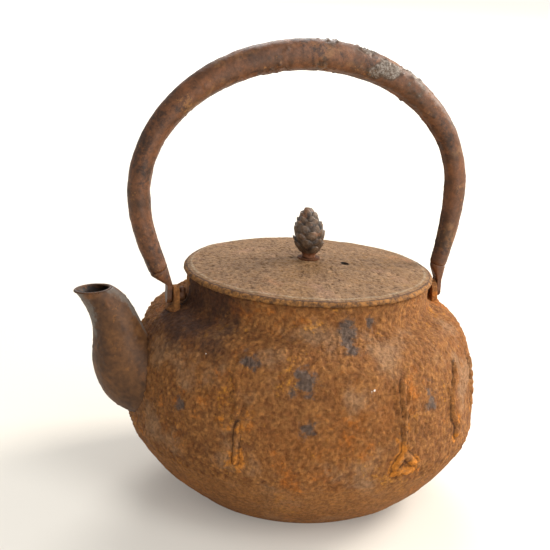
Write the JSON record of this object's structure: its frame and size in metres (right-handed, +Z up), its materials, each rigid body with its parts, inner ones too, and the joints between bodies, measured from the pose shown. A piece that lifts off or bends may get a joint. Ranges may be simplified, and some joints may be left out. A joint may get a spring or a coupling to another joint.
{
  "type": "teapot",
  "caption": "round cast iron kettle with a trunk-shaped spout, a lift-off lid with a pine cone knob, and a hollow forged bail that folds to either side",
  "frame": {"origin": "centre of the flat base, on the surface that the kettle stands on", "axes": "+Z up along the kettle's axis; the spout points along -X; the bail stands in the XZ plane and turns about a line along X"},
  "size_m": [0.1982, 0.17, 0.2212],
  "materials": {
    "vessel_iron": "sand-cast iron, coarse grain, rusted brown and orange with bare grey patches",
    "spout_iron": "smooth cast iron, thin brown rust with grey patina",
    "lid_iron": "fine-grained cast iron, dry light brown rust",
    "bail_iron": "wrought iron tube rolled from sheet, dark brown, worn and pitted",
    "knob_iron": "finely cast iron, dark grey-brown"
  },
  "bodies": {
    "kettle": {"body_shell": "vessel_iron", "spout": "spout_iron", "front_lug": "vessel_iron", "rear_lug": "vessel_iron"},
    "bail": {"bail_tube": "bail_iron", "front_hook": "bail_iron", "rear_hook": "bail_iron"},
    "lid": {"lid_plate": "lid_iron", "knob": "knob_iron", "knob_seat": "knob_iron", "knob_washer": "knob_iron"}
  },
  "joints": [
    {"name": "bail_swing", "type": "hinge", "parent": "kettle", "child": "bail", "pos_m": [0, 0, 0.0988], "axis": [1, 0, 0], "range_deg": [-92, 92]},
    {"name": "lid_lift", "type": "slide", "parent": "kettle", "child": "lid", "axis": [0, 0, 1], "range_m": [0, 0.06]}
  ]
}
